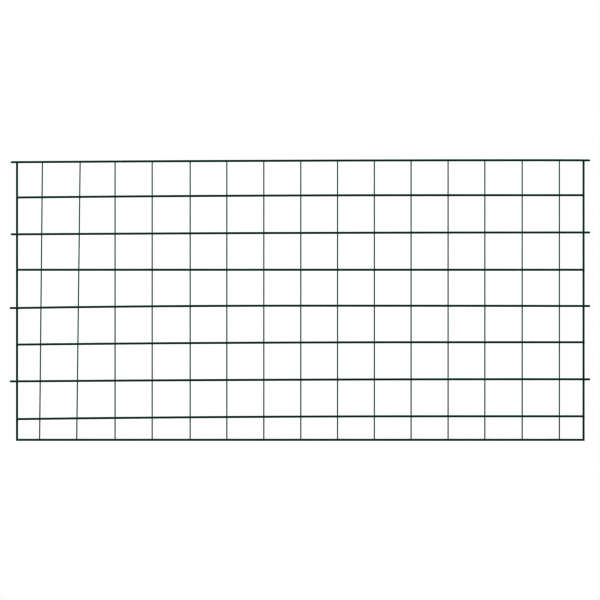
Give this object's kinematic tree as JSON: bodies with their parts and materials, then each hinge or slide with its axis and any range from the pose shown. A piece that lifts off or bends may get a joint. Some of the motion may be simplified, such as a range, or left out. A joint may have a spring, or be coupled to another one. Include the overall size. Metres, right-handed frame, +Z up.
{
  "type": "welded wire mesh panel",
  "caption": "Flat rectangular panel of welded wire mesh with thick line wires, thin cross wires, thick edge wires and four short wire stubs sticking out at each end.",
  "frame": {"origin": "middle of the panel's underside, at half its length and half its depth", "axes": "+X along the line wires towards the right-hand edge as seen from the front, +Y from the line wires to the cross wires, +Z up"},
  "size_m": [1.566, 0.009, 0.7596],
  "materials": {
    "coated_wire": "satin dark green powder coat over steel wire"
  },
  "bodies": {
    "root": {"line_wire_1": "coated_wire", "line_wire_2": "coated_wire", "line_wire_3": "coated_wire", "line_wire_4": "coated_wire", "line_wire_5": "coated_wire", "line_wire_6": "coated_wire", "line_wire_7": "coated_wire", "line_wire_8": "coated_wire", "line_wire_9": "coated_wire", "edge_wire_left": "coated_wire", "edge_wire_right": "coated_wire", "cross_wire_01": "coated_wire", "cross_wire_02": "coated_wire", "cross_wire_03": "coated_wire", "cross_wire_04": "coated_wire", "cross_wire_05": "coated_wire", "cross_wire_06": "coated_wire", "cross_wire_07": "coated_wire", "cross_wire_08": "coated_wire", "cross_wire_09": "coated_wire", "cross_wire_10": "coated_wire", "cross_wire_11": "coated_wire", "cross_wire_12": "coated_wire", "cross_wire_13": "coated_wire", "cross_wire_14": "coated_wire", "cross_wire_15": "coated_wire", "welds_1": "coated_wire", "welds_2": "coated_wire", "welds_3": "coated_wire", "welds_4": "coated_wire", "welds_5": "coated_wire", "welds_6": "coated_wire", "welds_7": "coated_wire", "welds_8": "coated_wire", "welds_9": "coated_wire"}
  },
  "joints": []
}
